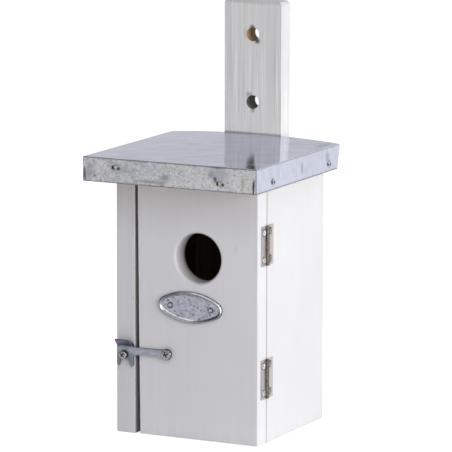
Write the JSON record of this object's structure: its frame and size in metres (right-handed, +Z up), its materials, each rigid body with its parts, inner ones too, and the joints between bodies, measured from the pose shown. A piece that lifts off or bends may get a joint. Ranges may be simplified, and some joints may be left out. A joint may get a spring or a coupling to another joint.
{
  "type": "nest box",
  "caption": "Small white wooden nest box with a round entrance, side-hung front door and hook latch, zinc-covered flat roof and a rear hanging batten.",
  "frame": {"origin": "on the plane the box stands on, under the middle of the whole object's plan", "axes": "+Z up, front door faces -Y, +X to the right seen from the front"},
  "size_m": [0.1238, 0.1348, 0.2712],
  "materials": {
    "painted_wood": "satin white paint on softwood",
    "raw_wood": "unpainted softwood",
    "zinc_sheet": "weathered galvanised sheet",
    "galvanised_latch": "dull galvanised strip",
    "hinge_steel": "aged nickel-plated steel with some rust",
    "screw_steel": "plated steel",
    "cast_plate": "pressed zinc plate"
  },
  "bodies": {
    "box": {"left_wall": "painted_wood", "right_wall": "painted_wood", "back_wall": "painted_wood", "floor_board": "painted_wood", "roof_board": "raw_wood", "roof_sheet": "zinc_sheet", "roof_front_nails": "screw_steel", "roof_right_nails": "screw_steel", "roof_left_nails": "screw_steel", "hanging_batten": "painted_wood", "batten_screws": "screw_steel", "latch_keeper_screw": "screw_steel", "upper_hinge_wall_leaf": "hinge_steel", "upper_hinge_pin": "hinge_steel", "upper_hinge_wall_screws": "screw_steel", "lower_hinge_wall_leaf": "hinge_steel", "lower_hinge_pin": "hinge_steel", "lower_hinge_wall_screws": "screw_steel"},
    "door": {"front_door": "painted_wood", "plaque": "cast_plate", "plaque_pins": "screw_steel", "latch_pivot_screw": "screw_steel", "upper_hinge_door_leaf": "hinge_steel", "upper_hinge_door_screws": "screw_steel", "lower_hinge_door_leaf": "hinge_steel", "lower_hinge_door_screws": "screw_steel"},
    "latch": {"latch_plate": "galvanised_latch"}
  },
  "joints": [
    {"name": "door_hinge", "type": "hinge", "parent": "box", "child": "door", "pos_m": [0.05175, -0.03095, 0.08495], "axis": [0, 0, 1], "range_deg": [0, 170]},
    {"name": "latch_pivot", "type": "hinge", "parent": "door", "child": "latch", "pos_m": [-0.01325, -0.04265, 0.0541], "axis": [0, 1, 0], "range_deg": [0, 50]}
  ]
}
